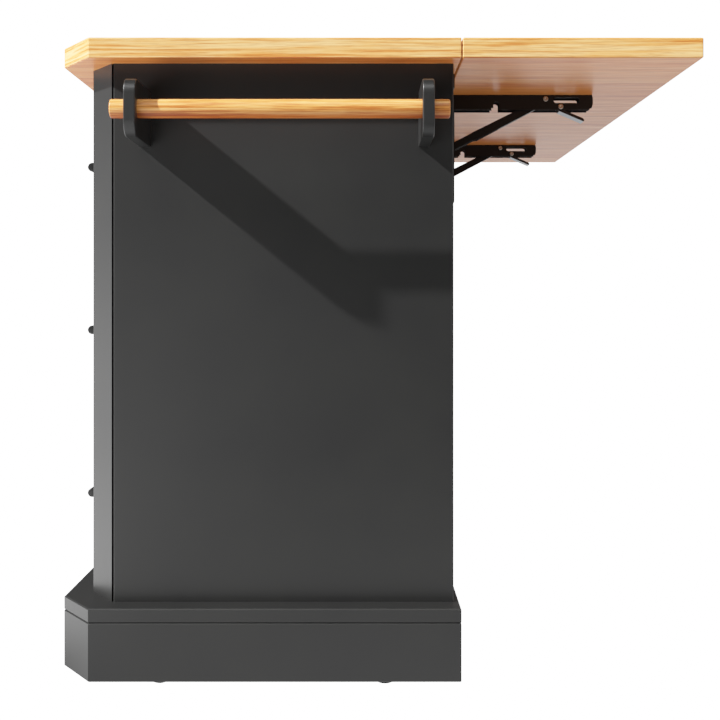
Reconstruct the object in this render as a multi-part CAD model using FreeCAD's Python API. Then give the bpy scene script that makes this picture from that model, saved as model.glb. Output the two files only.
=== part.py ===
import FreeCAD, Part
import math
import os

# Drop leaf kitchen island. Millimetres, +Z up, -Y is the drawer and door front, the leaf rises at +Y,
# the towel rail is on the +X end. The origin is on the floor under the middle of the outer box, leaf up.

V = FreeCAD.Vector

# ---- driving dimensions -------------------------------------------------------------------------
# overall
height = 914.0
top_length = 1320.0
top_depth = 566.0
top_thick = 28.5
top_corner = (80.0, 51.0)        # cut corner of the top and base, along X and along Y
edge_ease = 1.2
leaf_width = 332.4
leaf_gap = 1.6
leaf_ease = 1.6
leaf_open = 86.0                 # degrees the leaf swings down, the levers then almost touch the back

# cabinet carcass
end_overhang = 41.0
front_overhang = 37.5
back_overhang = 8.0
board = 18.0
back_thick = 15.0
post_width = 80.0
post_depth = 38.2
post_cut = (60.0, 38.0)          # chamfered outer face of the corner post, along X and along Y
post_groove = 1.2
panel_bevel = 3.0
stile_width = 30.0
stretcher_width = 80.0
shelf_height = 520.0
shelf_setback = 22.0
pin_radius = 2.5
pin_bite = 8.0
pin_inset = 70.0                 # shelf pins from the front and back of the shelf's bay
shelf_play = 1.0

# base
floor_gap = 25.0
plinth_height = 81.0
moulding_height = 20.0
moulding_width = 84.0
moulding_bevel = 1.6
plinth_board = 18.0
batten_height = 21.0
batten_thick = 7.5
batten_window = 60.0             # length left free for each folding bracket

# fronts
front_thick = 18.0
front_gap = 3.0
front_back_gap = 1.5
drawer_count = 3
door_open = {"left": 110.0, "right": 90.0}
pull_length = 160.0
pull_reach = 33.0
pull_radius = 6.8
pull_post_radius = 4.0
pull_post_inset = 16.0
pull_rim = 0.8
pull_inset = 38.0                # door pull, from the meeting edge
door_pull_drop = 130.0           # top of a door pull below the top of the door

# drawer boxes and runners
box_wall = 12.0
box_lift = 30.0                  # lower edge of the box above the lower edge of its front
box_drop = 54.0 + 1 / 6          # upper edge of the box below the upper edge of its front
box_back_gap = 47.5
box_floor = 6.0
floor_rise = 10.0
floor_bite = 5.0
runner_thick = 12.7
runner_height = 30.6
runner_skin = 1.5
runner_play = 0.3
drawer_travel = 330.0

# door hinges and catches
hinge_radius = 3.0
hinge_pin_radius = 1.5
hinge_pin_play = 0.1
hinge_leaf = 1.2
hinge_leaf_depth = 15.0
hinge_height = 60.0
hinge_joint = 0.4
hinge_end = 90.0                 # hinge middle from the top or bottom of the door
catch_size = (46.0, 15.0, 14.0)
catch_spread = 32.0
strike_thick = 1.2
strike_half = 15.0
strike_gap = 0.3
strike_drop = 1.0

# towel rail on the right end
rail_reach = 128.5
rail_height = 77.0
rail_thick = 15.6
rail_drop = 41.0                 # top of the brackets below the underside of the top
rail_front_in = 46.3             # middle of each bracket from the front and back edge of the side panel
rail_back_in = 41.8
rail_round = 20.0
rail_ease = 1.5
rod_radius = 12.7
rod_out = 103.0                  # rod axis from the side panel
rod_end = 29.2                   # rod beyond the middle of each bracket
rod_dome = 2.0

# folding brackets: places in their own upright plane, first out from the cabinet back,
# second down from the underside of the top, with the leaf up
bracket_spread = 662.0
hinge_at = (15.5, 16.0)
foot_at = (12.0, 88.5)
rivet_at = (170.0, 6.5)
lever_at = (194.6, 19.0)
link_length = 49.0
steel = 1.5
arm_half = 15.0
wall_half = 13.0
wall_deep = 22.0
wall_top = 4.0
wall_length = 174.0
arm_start = 11.0
arm_end = 246.9
arm_deep = 24.5
arm_nose = [(-1.5, 0.0), (0.0, 5.0), (0.0, 15.0), (-2.2, 21.6), (-5.4, 22.2), (-5.6, 24.5)]
slot_room = (13.0, 20.9)         # slot from the rivet and from the arm's end
slot_mid = 8.95
slot_high = 8.3
notch_at = (81.9, 95.3)
notch_deep = 13.4
strut_half = 8.8
strut_upper = (4.7, 7.0)         # from the pivot line to the upper edge, at the rivet and at the knee
strut_lower = (7.0, 7.8)         # and to the lower edge
strut_end = 4.7
link_half = 11.0
link_upper = (6.6, 6.4)          # the same for the short part, at the foot and at the knee
link_lower = (5.2, 5.4)
link_plate = 1.8
pivot_radius = 3.0
rivet_radius = 2.5
rivet_head = (4.35, 1.8)
foot_head = (3.7, 1.8)
rivet_dimple = (1.7, 0.4, 1.0)   # radius at the face, radius at the bottom, depth
pivot_play = 0.1
head_play = 0.3
wall_round = 6.0
notch_lip = 3.1
stub_play = 0.4                  # the lever's stub rivets stand this far past its cheeks
knee_open = 40.0                 # length of the long part left without skin, from the knee
skin_end = 9.0                   # skin of both parts stops this far from the rivet and from the foot pin
lever_half = 13.2
lever_hub = 4.8
lever_pressed = 12.0             # degrees the squeeze levers turn
lever_cheek = [(190.0, 19.0), (192.6, 26.2), (232.0, 43.0), (233.5, 40.4), (231.1, 37.5), (200.5, 24.5),
               (199.6, 18.0)]
lever_tongue = [(192.6, 26.2), (232.0, 43.0), (232.6, 41.6), (193.2, 24.8)]

# screws
screw_radius = 2.0
screw_head = (4.2, 1.6)
wall_screw_length = 14.0
wall_screw_down = (40.0, 112.0, 160.0)
leaf_screw_length = 18.0
leaf_screw_out = (30.0, 75.0)
leaf_screw_in = 8.9              # last leaf screw from the arm's end
top_screw_in = 59.0              # outer top screws from the right partition
top_screw_bite = 14.0
rail_screw_bite = 30.0
rail_screw_inset = 18.0

# casters
wheel_radius = 25.0
wheel_half = 9.0
wheel_play = 0.1
axle_radius = 3.0
trail = 22.0
wheel_room = 1.6                 # between the wheel and the king pin's head
caster_in = 88.0                 # swivel axis from the end of the base
caster_front_in = 115.6
caster_back_in = 125.7
caster_plate = (50.0, 2.5)
caster_board = (120.0, 18.0)
caster_turn = {"front_right": 85.0, "rear_right": 80.0, "front_left": 60.0, "rear_left": 115.0}
fork_steel = 2.0
fork_gap = 1.0
cup_radius = 15.0
cup_deep = 5.0
crown_deep = 4.5
crown_play = 0.4
king_radius = 4.0
king_head = (6.0, 1.6)
king_play = 0.3
crown_back = 10.0                # crown and legs reach this far behind the swivel axis
leg_front = 13.0                 # front edge of a leg where it leaves the crown
leg_foot = 7.0                   # half width of a leg at the axle
leg_cut = 2.0                    # cut corners at the foot of a leg
axle_end = 1.5
tread_round = 2.5
dish_radius = 17.0
dish_deep = 2.5
hub_radius = 7.0

# ---- planes worked out from the sizes -------------------------------------------------------------
mid_x = -(rail_reach - end_overhang) / 2
half = top_length / 2
front_y = -(top_depth + leaf_gap + leaf_width) / 2
top_back = front_y + top_depth
leaf_front = top_back + leaf_gap
leaf_back = leaf_front + leaf_width
under = height - top_thick
base_top = floor_gap + plinth_height + moulding_height
plinth_top = floor_gap + plinth_height
side_out = half - end_overhang
side_in = side_out - board
case_front = front_y + front_overhang
case_back = top_back - back_overhang
back_front = case_back - back_thick
post_back = case_front + post_depth
panel_front = post_back + post_groove
frame_front = case_front + front_thick + front_back_gap
opening = side_out - post_width
floor_top = base_top + board
ceiling = under - board
front_width = (2 * opening - stile_width - 5 * front_gap) / 3
stile_right = opening - front_width - 2 * front_gap
stile_left = stile_right - stile_width
front_low = base_top + front_gap
front_high = under - front_gap
drawer_high = (under - base_top - (drawer_count + 1) * front_gap) / drawer_count
doors_mid = (stile_left - opening) / 2
hinge_y = case_front - hinge_radius
bracket_x = (bracket_spread / 2, -bracket_spread / 2)
rail_bottom = under - rail_drop - rail_height
caster_height = (2 * wheel_radius + wheel_room + king_head[1] + 2 * crown_play + crown_deep + cup_deep
                 + caster_plate[1])
rod_z = rail_bottom + rail_height / 2
drawer_names = ("bottom", "middle", "top")
drawer_x = (stile_right + opening) / 2


# ---- shape helpers --------------------------------------------------------------------------------
def box(x0, x1, y0, y1, z0, z1):
    """Block between two X, two Y and two Z planes, X counted from the middle of the top."""
    low = V(mid_x + min(x0, x1), min(y0, y1), min(z0, z1))
    return Part.makeBox(abs(x1 - x0), abs(y1 - y0), abs(z1 - z0), low)


def flat_prism(points, z0, z1):
    """Upright prism over an outline of (x, y) points."""
    ring = [V(mid_x + x, y, z0) for x, y in points]
    face = Part.Face(Part.makePolygon(ring + ring[:1]))
    return face.extrude(V(0, 0, z1 - z0))


def cylinder(radius, length, start, axis):
    """Round bar from a start point along an axis, X counted from the middle of the top."""
    return Part.makeCylinder(radius, length, V(mid_x, 0, 0) + start, axis)


def ease(solid, size, chosen):
    """Bevels the straight edges that the test picks."""
    edges = [edge for edge in solid.Edges if chosen(edge)]
    return solid.makeChamfer(size, edges)


def level(edge):
    """True for an edge that lies in a level plane."""
    return abs(edge.Vertexes[0].Z - edge.Vertexes[-1].Z) < 0.01


def upright(edge):
    """True for an edge that stands along Z."""
    return abs(edge.tangentAt(edge.FirstParameter).z) > 0.99


def group(solids):
    """Separate solids that share one node."""
    return Part.makeCompound(solids)


def mirrored(solid):
    """The same piece on the other side of the middle of the top."""
    return solid.mirror(V(mid_x, 0, 0), V(1, 0, 0))


def outline(inset):
    """Plan of the top and base, with its two cut front corners, moved in by an inset."""
    cut_x, cut_y = top_corner
    slant = math.hypot(cut_x, cut_y)
    shift_x = inset * (slant - cut_y) / cut_x
    shift_y = inset * (slant - cut_x) / cut_y
    right = half - inset
    return [
        (right, top_back - inset),
        (right, front_y + cut_y + shift_y),
        (half - cut_x - shift_x, front_y + inset),
        (-half + cut_x + shift_x, front_y + inset),
        (-right, front_y + cut_y + shift_y),
        (-right, top_back - inset),
    ]


def ring_boards(width, z0, z1, bevel):
    """Six mitred boards that follow the plan of the base, with a fine bevel along the outer edges."""
    outer = outline(0.0)
    inner = outline(width)
    whole = ease(flat_prism(outer, z0, z1), bevel, level)
    boards = []
    for i in range(len(outer)):
        j = (i + 1) % len(outer)
        cell = flat_prism([outer[i], outer[j], inner[j], inner[i]], z0, z1)
        boards.append(whole.common(cell).Solids[0])
    return boards


def wood_screw(tip, axis, length):
    """Screw with a flat head, from its tip back to the head along the axis."""
    head_radius, head_high = screw_head
    shank = cylinder(screw_radius, length, tip, axis)
    head = cylinder(head_radius, head_high, tip + axis * length, axis)
    return shank.fuse(head).removeSplitter()


# ---- top, leaf and towel rail ---------------------------------------------------------------------
def make_tabletop():
    slab = flat_prism(outline(0.0), under, height)
    return ease(slab, edge_ease, lambda edge: level(edge) or upright(edge))


def make_leaf():
    slab = box(-half, half, leaf_front, leaf_back, under, height)
    return ease(slab, leaf_ease, lambda edge: True)


def rail_rows():
    return (panel_front + rail_front_in, case_back - rail_back_in)


def make_towel_brackets():
    brackets = []
    for row in rail_rows():
        plate = box(side_out, side_out + rail_reach, row - rail_thick / 2, row + rail_thick / 2,
                    rail_bottom, rail_bottom + rail_height)
        tip_x = mid_x + side_out + rail_reach
        nose = [edge for edge in plate.Edges
                if abs(edge.CenterOfMass.x - tip_x) < 0.01 and abs(edge.CenterOfMass.y - row) < 0.01]
        plate = plate.makeFillet(rail_round, nose)
        rims = [edge for edge in plate.Edges if abs(abs(edge.CenterOfMass.y - row) - rail_thick / 2) < 0.01
                and edge.CenterOfMass.x > mid_x + side_out + 1]
        plate = plate.makeFillet(rail_ease, rims)
        bore = cylinder(rod_radius, rail_thick + 2, V(side_out + rod_out, row - rail_thick / 2 - 1, rod_z),
                        V(0, 1, 0))
        brackets.append(plate.cut(bore))
    return group(brackets)


def make_towel_rod():
    rows = rail_rows()
    start = rows[0] - rod_end
    length = rows[1] - rows[0] + 2 * rod_end
    rod = cylinder(rod_radius, length, V(side_out + rod_out, start, rod_z), V(0, 1, 0))
    rims = [edge for edge in rod.Edges if edge.Closed]
    return rod.makeFillet(rod_dome, rims)


# ---- carcass --------------------------------------------------------------------------------------
def make_side_panel():
    panel = box(side_in, side_out, panel_front, case_back, base_top, under)
    out_x = mid_x + side_out
    front_edge = [edge for edge in panel.Edges if upright(edge)
                  and abs(edge.CenterOfMass.x - out_x) < 0.01 and abs(edge.CenterOfMass.y - panel_front) < 0.01]
    panel = panel.makeChamfer(panel_bevel, front_edge)
    back_edge = [edge for edge in panel.Edges if upright(edge)
                 and abs(edge.CenterOfMass.x - out_x) < 0.01 and abs(edge.CenterOfMass.y - case_back) < 0.01]
    return panel.makeChamfer(edge_ease, back_edge)


def make_corner_post():
    """Corner post whose outer face is cut back at a slant; its back edge meets the side panel."""
    cut_x, cut_y = post_cut
    plan = [(opening, case_front), (side_out - cut_x, case_front), (side_out - edge_ease, case_front + cut_y),
            (side_out - edge_ease, post_back), (side_in, post_back), (side_in, panel_front),
            (opening, panel_front)]
    return flat_prism(plan, base_top, under)


def make_centre_stile():
    return box(stile_left, stile_right, case_front, panel_front, base_top, under)


def framed_board(z0, z1, back):
    """Board between the side panels whose front edge reaches past the posts into both openings."""
    plate = box(-side_in, side_in, panel_front, back, z0, z1)
    right_nose = box(stile_right, opening, frame_front, panel_front, z0, z1)
    left_nose = box(-opening, stile_left, frame_front, panel_front, z0, z1)
    return plate.fuse([right_nose, left_nose]).removeSplitter()


def make_bottom_board():
    return framed_board(base_top, floor_top, back_front)


def make_top_stretchers():
    front = framed_board(ceiling, under, frame_front + stretcher_width)
    rear = box(-side_in, side_in, back_front - stretcher_width, back_front, ceiling, under)
    return group([front, rear])


def make_back_panel():
    return box(-side_in, side_in, back_front, case_back, base_top, under)


def partition_planes():
    """X planes of the two upright partitions: beside the stile, and behind the right post."""
    return ((stile_right - board, stile_right), (opening, opening + board))


def make_partitions():
    return group([box(x0, x1, panel_front, back_front, floor_top, ceiling)
                  for x0, x1 in partition_planes()])


def make_shelf():
    right = stile_right - board - shelf_play
    return box(-side_in + shelf_play, right, panel_front + shelf_setback, back_front - shelf_play,
               shelf_height, shelf_height + board)


def make_shelf_pins():
    pins = []
    for y in (panel_front + pin_inset, back_front - pin_inset):
        z = shelf_height - pin_radius
        pins.append(cylinder(pin_radius, 2 * pin_bite, V(-side_in - pin_bite, y, z), V(1, 0, 0)))
        pins.append(cylinder(pin_radius, 2 * pin_bite, V(stile_right - board - pin_bite, y, z), V(1, 0, 0)))
    return group(pins)


def make_rear_battens():
    inner = bracket_x[0] - batten_window / 2
    outer = bracket_x[0] + batten_window / 2
    pieces = []
    for x0, x1 in ((-opening, -outer), (-inner, inner), (outer, opening)):
        pieces.append(box(x0, x1, case_back, case_back + batten_thick, under - batten_height, under))
    return group(pieces)


# ---- base -----------------------------------------------------------------------------------------
def make_base_moulding():
    return group(ring_boards(moulding_width, plinth_top, base_top, moulding_bevel))


def make_plinth_boards():
    return group(ring_boards(plinth_board, floor_gap, plinth_top, edge_ease))


def make_caster_boards():
    width, thick = caster_board
    right_edge = half - plinth_board
    front = front_y + top_corner[1] + plinth_board
    right = box(right_edge - width, right_edge, front, top_back - plinth_board,
                caster_height, caster_height + thick)
    return group([right, mirrored(right)])


# ---- fronts ---------------------------------------------------------------------------------------
def slab_front(x0, x1, z0, z1):
    slab = box(x0, x1, case_front, case_front + front_thick, z0, z1)
    return ease(slab, edge_ease, lambda edge: abs(edge.CenterOfMass.y - case_front) < 0.01)


def drawer_levels(index):
    low = front_low + index * (drawer_high + front_gap)
    return low, low + drawer_high


def make_drawer_front(index):
    low, high = drawer_levels(index)
    return slab_front(stile_right + front_gap, opening - front_gap, low, high)


def bar_pull(middle, along):
    """Round bar on two straight posts; the posts stand on the front face."""
    bar_y = case_front - pull_reach + pull_radius
    start = V(middle.x, bar_y, middle.z) - along * (pull_length / 2)
    bar = cylinder(pull_radius, pull_length, start, along)
    rims = [edge for edge in bar.Edges if edge.Closed]
    pull = bar.makeChamfer(pull_rim, rims)
    for side in (-1, 1):
        foot = V(middle.x, bar_y, middle.z) + along * (side * (pull_length / 2 - pull_post_inset))
        pull = pull.fuse(cylinder(pull_post_radius, case_front - bar_y, foot, V(0, 1, 0)))
    return pull.removeSplitter()


def make_drawer_pull(index):
    low, high = drawer_levels(index)
    return bar_pull(V(drawer_x, 0, (low + high) / 2), V(1, 0, 0))


def box_planes(index):
    """Outer planes of one drawer box: left, right, front, back, bottom, top."""
    low, high = drawer_levels(index)
    return (stile_right + runner_thick, opening - runner_thick,
            case_front + front_thick, back_front - box_back_gap, low + box_lift, high - box_drop)


def make_drawer_box(index):
    """Four walls and a thin floor that sits in a groove of the walls."""
    x0, x1, y0, y1, z0, z1 = box_planes(index)
    floor = box(x0 + box_wall - floor_bite, x1 - box_wall + floor_bite, y0 + box_wall - floor_bite,
                y1 - box_wall + floor_bite, z0 + floor_rise, z0 + floor_rise + box_floor)
    walls = [box(x0, x0 + box_wall, y0, y1, z0, z1),
             box(x1 - box_wall, x1, y0, y1, z0, z1),
             box(x0 + box_wall, x1 - box_wall, y0, y0 + box_wall, z0, z1),
             box(x0 + box_wall, x1 - box_wall, y1 - box_wall, y1, z0, z1)]
    return group([wall.cut(floor) for wall in walls] + [floor])


def runner_pair(index, moving):
    """Runner channels of one drawer: the fixed ones face in, the drawer's own ones nest inside them."""
    x0, x1, y0, y1, z0, z1 = box_planes(index)
    middle = (z0 + z1) / 2
    outer = runner_height / 2
    if moving:
        outer = outer - runner_skin - runner_play
    inner = outer - runner_skin
    # the fixed channel starts at the partition, the moving one at the drawer side
    wall = x0 - runner_thick
    if moving:
        web = (wall + runner_thick - runner_skin, wall + runner_thick)
        flange = (wall + 2 * runner_skin, wall + runner_thick)
    else:
        web = (wall, wall + runner_skin)
        flange = (wall, wall + runner_thick - 2 * runner_skin)
    start = panel_front + 1.0
    end = y1
    left = box(web[0], web[1], start, end, middle - outer, middle + outer)
    for side in (-1, 1):
        left = left.fuse(box(flange[0], flange[1], start, end, middle + side * outer, middle + side * inner))
    left = left.removeSplitter()
    right = left.mirror(V(mid_x + drawer_x, 0, 0), V(1, 0, 0))
    return [left, right]


def make_drawer_runners(index):
    return group(runner_pair(index, True))


def make_cabinet_runners():
    return group([solid for index in range(drawer_count) for solid in runner_pair(index, False)])


# ---- doors ----------------------------------------------------------------------------------------
# each door: hinge edge, meeting edge, and the direction from its hinge edge into the door
doors = {
    "left": (-opening + front_gap, doors_mid - front_gap / 2, 1),
    "right": (stile_left - front_gap, doors_mid + front_gap / 2, -1),
}


def make_door(name):
    edge, meeting, way = doors[name]
    return slab_front(edge, meeting, front_low, front_high)


def make_door_pull(name):
    edge, meeting, way = doors[name]
    middle = V(meeting - way * pull_inset, 0, front_high - door_pull_drop - pull_length / 2)
    return bar_pull(middle, V(0, 0, 1))


def hinge_middles():
    return (front_low + hinge_end, front_high - hinge_end)


def hinge_axis_x(name):
    edge, meeting, way = doors[name]
    return edge - way * front_gap / 2


def hinge_half(name, middle, moving):
    """Knuckles and leaf of one butt hinge half, in the gap between the frame and the door edge."""
    edge, meeting, way = doors[name]
    axis_x = hinge_axis_x(name)
    third = hinge_height / 3
    low = middle - hinge_height / 2
    if moving:
        spans = [(low + third + hinge_joint, low + 2 * third - hinge_joint)]
        plane = edge
        step = -way
        bore_radius = hinge_pin_radius + hinge_pin_play
    else:
        spans = [(low, low + third), (low + 2 * third, low + hinge_height)]
        plane = edge - way * front_gap
        step = way
        bore_radius = hinge_pin_radius
    plate = box(plane, plane + step * hinge_leaf, case_front + hinge_joint, case_front + hinge_leaf_depth,
                low, low + hinge_height)
    knuckles = []
    for z0, z1 in spans:
        knuckle = cylinder(hinge_radius, z1 - z0, V(axis_x, hinge_y, z0), V(0, 0, 1))
        tab = box(plane, axis_x, hinge_y, case_front + hinge_leaf, z0, z1)
        inside = box(plane, plane + step * hinge_leaf, hinge_y, case_front + hinge_leaf, z0, z1)
        knuckles.append(knuckle.fuse(tab.common(inside)))
    half_hinge = plate.fuse(knuckles)
    bore = cylinder(bore_radius, hinge_height, V(axis_x, hinge_y, low), V(0, 0, 1))
    return half_hinge.cut(bore).removeSplitter()


def strike_x(name):
    way = doors[name][2]
    return doors_mid - way * catch_spread


def make_door_fittings(name):
    """Moving halves of the two hinges and the strike plate of the magnet catch."""
    solids = [hinge_half(name, middle, True) for middle in hinge_middles()]
    x = strike_x(name)
    width, depth, high = catch_size
    back = case_front + front_thick
    solids.append(box(x - strike_half, x + strike_half, back, back + strike_thick,
                      ceiling - high, ceiling - strike_drop))
    return group(solids)


def make_hinge_frame_halves():
    """Fixed halves of the four hinges, each with its pin."""
    solids = []
    for name in doors:
        for middle in hinge_middles():
            solids.append(hinge_half(name, middle, False))
            start = V(hinge_axis_x(name), hinge_y, middle - hinge_height / 2)
            solids.append(cylinder(hinge_pin_radius, hinge_height, start, V(0, 0, 1)))
    return group(solids)


def make_magnet_catches():
    width, depth, high = catch_size
    front = case_front + front_thick + strike_thick + strike_gap
    solids = []
    for name in doors:
        x = strike_x(name)
        solids.append(box(x - width / 2, x + width / 2, front, front + depth, ceiling - high, ceiling))
    return group(solids)


# ---- folding brackets -----------------------------------------------------------------------------
def side_point(place):
    """(out, down) in a bracket's plane to (y, z)."""
    return (case_back + place[0], under - place[1])


def side_prism(x0, x1, places):
    """Prism along X over an outline of (out, down) places."""
    ring = [V(mid_x + x0, *side_point(place)) for place in places]
    face = Part.Face(Part.makePolygon(ring + ring[:1]))
    return face.extrude(V(x1 - x0, 0, 0))


def side_disc(radius, x0, x1, place):
    y, z = side_point(place)
    return cylinder(radius, x1 - x0, V(x0, y, z), V(1, 0, 0))


def side_box(x0, x1, out, down):
    """Block over a span of (out) and a span of (down)."""
    return box(x0, x1, case_back + out[0], case_back + out[1], under - down[1], under - down[0])


def bar_outline(start, end, lows, highs):
    """Four corners of a straight bar from one place to another: its low and high offsets at both ends."""
    run = math.hypot(end[0] - start[0], end[1] - start[1])
    along = ((end[0] - start[0]) / run, (end[1] - start[1]) / run)
    up = (along[1], -along[0])
    corners = [(start, lows[0]), (end, lows[1]), (end, highs[1]), (start, highs[0])]
    return [(place[0] + up[0] * offset, place[1] + up[1] * offset) for place, offset in corners]


def wide(size):
    """Low and high offsets of a bar that reaches a size to both sides."""
    return (-size, -size), (size, size)


def toward(start, end, distance):
    """Place at a distance from one place on the way to another."""
    run = math.hypot(end[0] - start[0], end[1] - start[1])
    return (start[0] + (end[0] - start[0]) * distance / run, start[1] + (end[1] - start[1]) * distance / run)


knee_at = toward(foot_at, rivet_at, link_length)
slot_at = (rivet_at[0] + slot_room[0], arm_end - slot_room[1])


def wall_arm(x):
    """Channel screwed upright to the cabinet back."""
    bottom = wall_top + wall_length
    outer = side_box(x - wall_half, x + wall_half, (0, wall_deep), (wall_top, bottom))
    near = wall_half - steel
    hollow = side_box(x - near, x + near, (steel, wall_deep + 1), (wall_top - 1, bottom + 1))
    arm = outer.cut(hollow)
    corner = [edge for edge in arm.Edges if abs(edge.tangentAt(edge.FirstParameter).x) > 0.99
              and abs(edge.CenterOfMass.y - case_back - wall_deep) < 0.01]
    arm = arm.makeFillet(wall_round, corner)
    for place in (hinge_at, foot_at):
        arm = arm.cut(side_disc(pivot_radius, x - wall_half - 1, x + wall_half + 1, place))
    return arm


def shelf_arm(x):
    """Channel under the leaf: hinge end round, outer end bowed, a slot, and a notch for the foot pin."""
    nose = [(arm_end + out, down) for out, down in arm_nose]
    profile = side_prism(x - arm_half, x + arm_half, [(arm_start, 0.0)] + nose + [(arm_start, arm_deep)])
    profile = profile.fuse(side_disc(arm_deep - hinge_at[1], x - arm_half, x + arm_half, hinge_at))
    reach = arm_half - steel
    hollow = side_box(x - reach, x + reach, (0, arm_end + 1), (steel, arm_deep + 5))
    arm = profile.cut(hollow).removeSplitter()
    low_x = x - arm_half - 1
    high_x = x + arm_half + 1
    radius = slot_high / 2
    slot_start = slot_at[0] + radius
    slot_end = slot_at[1] - radius
    slot = side_box(low_x, high_x, (slot_start, slot_end), (slot_mid - radius, slot_mid + radius))
    notch_radius = (notch_at[1] - notch_at[0] - notch_lip) / 2
    notch_mid = notch_at[1] - notch_radius
    notch_crown = arm_deep - notch_deep + notch_radius
    lip_down = arm_deep - notch_lip
    notch = [(notch_mid - notch_radius, notch_crown), (notch_mid + notch_radius, notch_crown),
             (notch_at[1], arm_deep + 1), (notch_at[0], arm_deep + 1),
             (notch_at[0], lip_down), (notch_mid - notch_radius, lip_down)]
    cuts = [slot,
            side_disc(radius, low_x, high_x, (slot_start, slot_mid)),
            side_disc(radius, low_x, high_x, (slot_end, slot_mid)),
            side_disc(notch_radius, low_x, high_x, (notch_mid, notch_crown)),
            side_prism(low_x, high_x, notch),
            side_disc(pivot_radius + pivot_play, low_x, high_x, hinge_at),
            side_disc(rivet_radius, low_x, high_x, rivet_at),
            side_disc(rivet_radius, low_x, high_x, lever_at)]
    for tool in cuts:
        arm = arm.cut(tool)
    return arm


def strut(x):
    """Long part of the knee brace: a channel whose skin stops short of the knee, open above."""
    half = strut_half
    near = half - steel
    shoulder = toward(rivet_at, knee_at, strut_end)
    lows = (-strut_lower[1], -strut_lower[0])
    highs = (strut_upper[1], strut_upper[0])
    body = side_prism(x - half, x + half, bar_outline(knee_at, shoulder, lows, highs))
    body = body.fuse([side_disc(strut_upper[1], x - half, x + half, knee_at),
                      side_disc(strut_end, x - half, x + half, rivet_at)]).removeSplitter()
    over = strut_lower[1] + 1
    skin_start = toward(knee_at, rivet_at, knee_open)
    skin_stop = toward(rivet_at, knee_at, skin_end)
    past_knee = toward(knee_at, rivet_at, -over)
    past_rivet = toward(rivet_at, knee_at, -over)
    skin_top = (steel - strut_lower[1], steel - strut_lower[0])
    tools = [side_prism(x - near, x + near, bar_outline(past_knee, skin_start, *wide(over))),
             side_prism(x - near, x + near, bar_outline(past_knee, past_rivet, skin_top, (over, over))),
             side_prism(x - near, x + near, bar_outline(skin_stop, past_rivet, *wide(over))),
             side_disc(rivet_radius + pivot_play, x - half - 1, x + half + 1, rivet_at),
             side_disc(rivet_radius, x - half - 1, x + half + 1, knee_at)]
    for tool in tools:
        body = body.cut(tool)
    return body


def knee_pin(x):
    """Pin of the knee, held in the long part."""
    return side_disc(rivet_radius, x - strut_half, x + strut_half, knee_at)


def lower_link(x):
    """Short part of the knee brace: two plates outside the long part, joined by a skin at the foot."""
    half = link_half
    inside = half - link_plate
    lows = (-link_lower[0], -link_lower[1])
    plates = side_prism(x - half, x + half, bar_outline(foot_at, knee_at, lows, link_upper))
    plates = plates.fuse([side_disc(link_lower[1], x - half, x + half, knee_at),
                          side_disc(link_lower[0], x - half, x + half, foot_at)]).removeSplitter()
    over = link_upper[0] + 1
    past_foot = toward(foot_at, knee_at, -over)
    past_knee = toward(knee_at, foot_at, -over)
    skin_stop = toward(foot_at, knee_at, skin_end)
    skin_top = (steel - link_lower[0], steel - link_lower[1])
    tools = [side_prism(x - inside, x + inside, bar_outline(skin_stop, past_knee, *wide(over))),
             side_prism(x - inside, x + inside, bar_outline(past_foot, past_knee, skin_top, (over, over))),
             side_disc(pivot_radius + pivot_play, x - half - 1, x + half + 1, foot_at),
             side_disc(rivet_radius, x - half - 1, x + half + 1, knee_at)]
    for tool in tools:
        plates = plates.cut(tool)
    return plates


def knee_caps(x):
    """Flush ends of the knee pin in the two plates of the short part."""
    inside = link_half - link_plate
    return [side_disc(rivet_radius, x + inside, x + link_half, knee_at),
            side_disc(rivet_radius, x - link_half, x - inside, knee_at)]


def domed_head(x, way, place, radius, high):
    """Round rivet head that stands out from a flange."""
    if way > 0:
        head = side_disc(radius, x, x + high, place)
        rim_x = mid_x + x + high
    else:
        head = side_disc(radius, x - high, x, place)
        rim_x = mid_x + x - high
    rims = [edge for edge in head.Edges if edge.Closed and abs(edge.CenterOfMass.x - rim_x) < 0.01]
    y, z = side_point(place)
    wide_radius, low_radius, deep = rivet_dimple
    dimple = Part.makeCone(low_radius, wide_radius, deep, V(rim_x - way * deep, y, z), V(way, 0, 0))
    return head.makeFillet(high * 0.8, rims).cut(dimple)


def through_pin(x, radius, half_width, place, heads):
    """Pin across a bracket with a round head at each end."""
    pin = side_disc(radius, x - half_width, x + half_width, place)
    head_radius, head_high = heads
    for way in (-1, 1):
        pin = pin.fuse(domed_head(x + way * half_width, way, place, head_radius, head_high))
    return pin.removeSplitter()


def main_pins(x):
    """Hinge pin through both arms, and the foot pin of the knee brace in the wall arm."""
    return [through_pin(x, pivot_radius, arm_half + head_play, hinge_at, rivet_head),
            through_pin(x, pivot_radius, wall_half, foot_at, foot_head)]


def arm_rivets(x):
    """Rivet of the knee brace across the shelf arm, and two short ones that carry the lever's cheeks."""
    head_radius, head_high = rivet_head
    inner = lever_half - steel - stub_play
    right = side_disc(rivet_radius, x + inner, x + arm_half, lever_at)
    right = right.fuse(domed_head(x + arm_half, 1, lever_at, head_radius, head_high))
    left = side_disc(rivet_radius, x - arm_half, x - inner, lever_at)
    left = left.fuse(domed_head(x - arm_half, -1, lever_at, head_radius, head_high))
    brace = through_pin(x, rivet_radius, arm_half, rivet_at, rivet_head)
    return [brace, right.removeSplitter(), left.removeSplitter()]


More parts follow.
